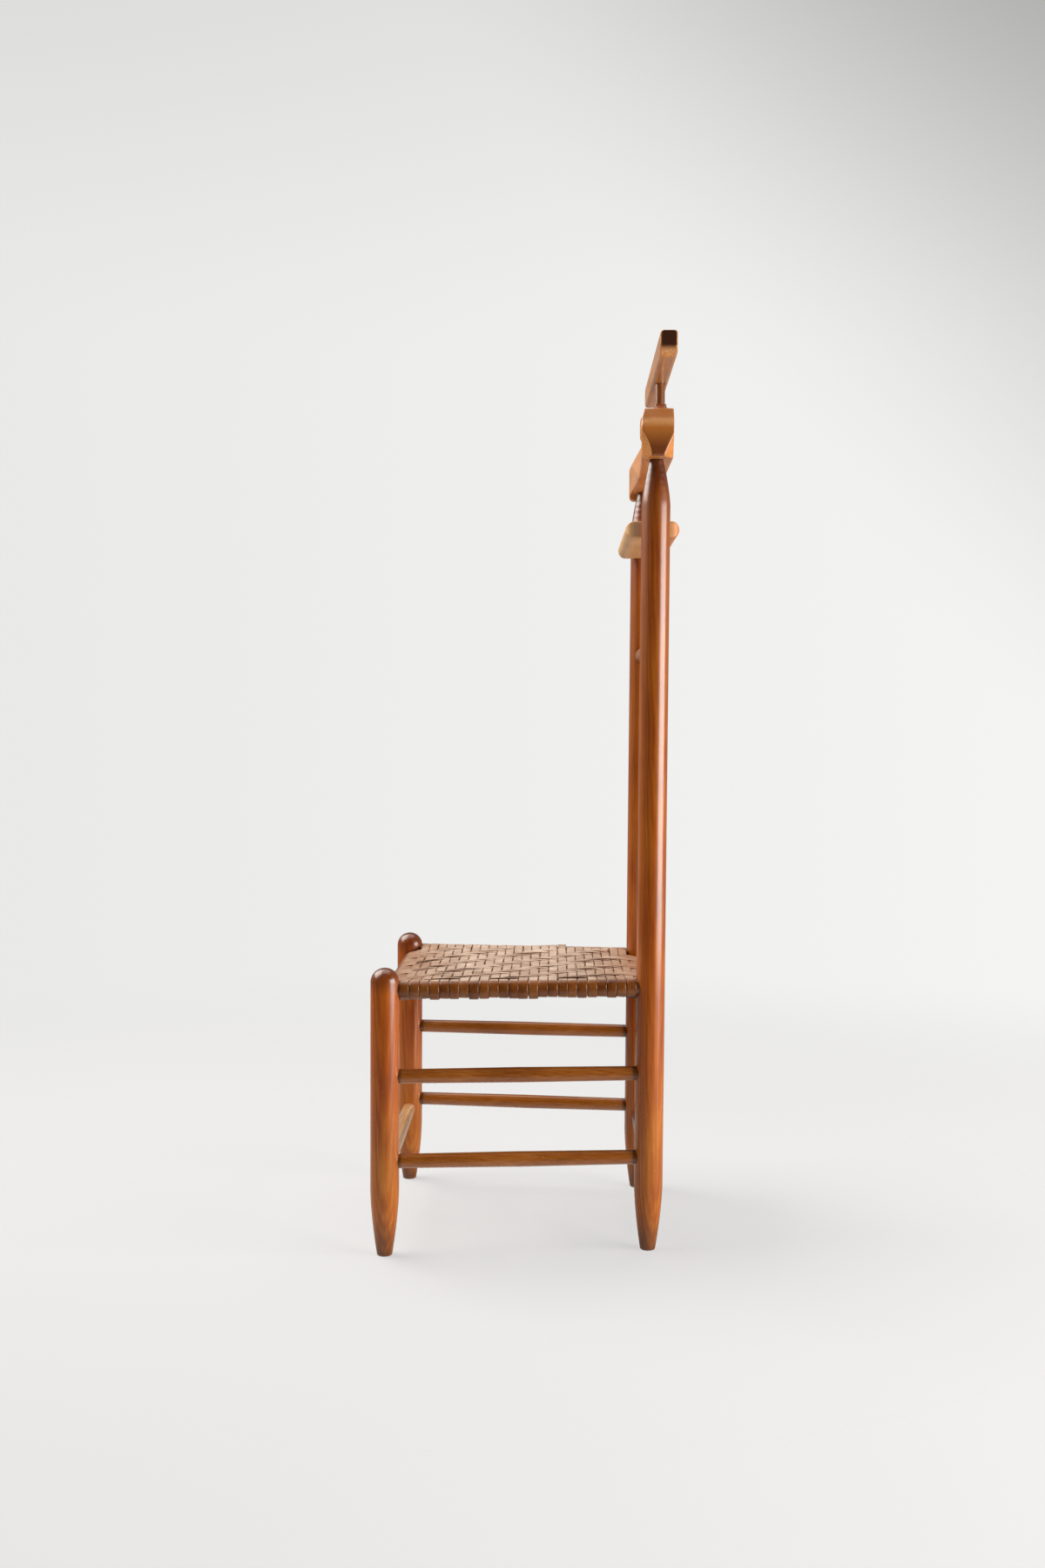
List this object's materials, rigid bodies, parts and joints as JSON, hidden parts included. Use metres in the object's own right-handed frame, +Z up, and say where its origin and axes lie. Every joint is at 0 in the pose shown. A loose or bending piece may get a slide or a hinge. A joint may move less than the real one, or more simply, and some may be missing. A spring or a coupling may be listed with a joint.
{
  "type": "valet chair",
  "caption": "wooden valet chair with a woven strip seat, turned legs and tall rear posts carrying a trouser rail, a small tray, a carved shoulder yoke and a hanger bar",
  "frame": {"origin": "middle of the bounding box in plan, on the floor under the feet", "axes": "+X to the chair's own left, +Y to its rear, +Z up; the chair faces -Y and X = 0 is its plane of symmetry"},
  "size_m": [0.495, 0.4795, 1.433],
  "materials": {
    "post_wood": "reddish-brown stained hardwood under a satin oil finish",
    "rung_wood": "reddish-brown stained hardwood dowel under a satin oil finish",
    "carved_wood": "hand-carved stained hardwood under a satin oil finish, darker on end grain",
    "tray_wood": "paler brown hardwood board under a satin oil finish",
    "strip_leather": "brown hide strip, semi-gloss on the wraps and duller on the seat"
  },
  "bodies": {
    "root": {"front_post_left": "post_wood", "front_post_right": "post_wood", "rear_post_left": "post_wood", "rear_post_right": "post_wood", "upper_stretcher_left": "rung_wood", "upper_stretcher_right": "rung_wood", "lower_stretcher_left": "rung_wood", "lower_stretcher_right": "rung_wood", "front_stretcher": "rung_wood", "rear_stretcher": "rung_wood", "seat_rail_front": "rung_wood", "seat_rail_rear": "rung_wood", "seat_rail_left": "rung_wood", "seat_rail_right": "rung_wood", "seat_weft": "strip_leather", "seat_warp": "strip_leather", "seat_short_warp_left": "strip_leather", "seat_short_warp_right": "strip_leather", "trouser_rail": "rung_wood", "tray": "tray_wood", "yoke": "carved_wood", "bar_dowel": "rung_wood", "hanger_bar": "carved_wood"}
  },
  "joints": []
}
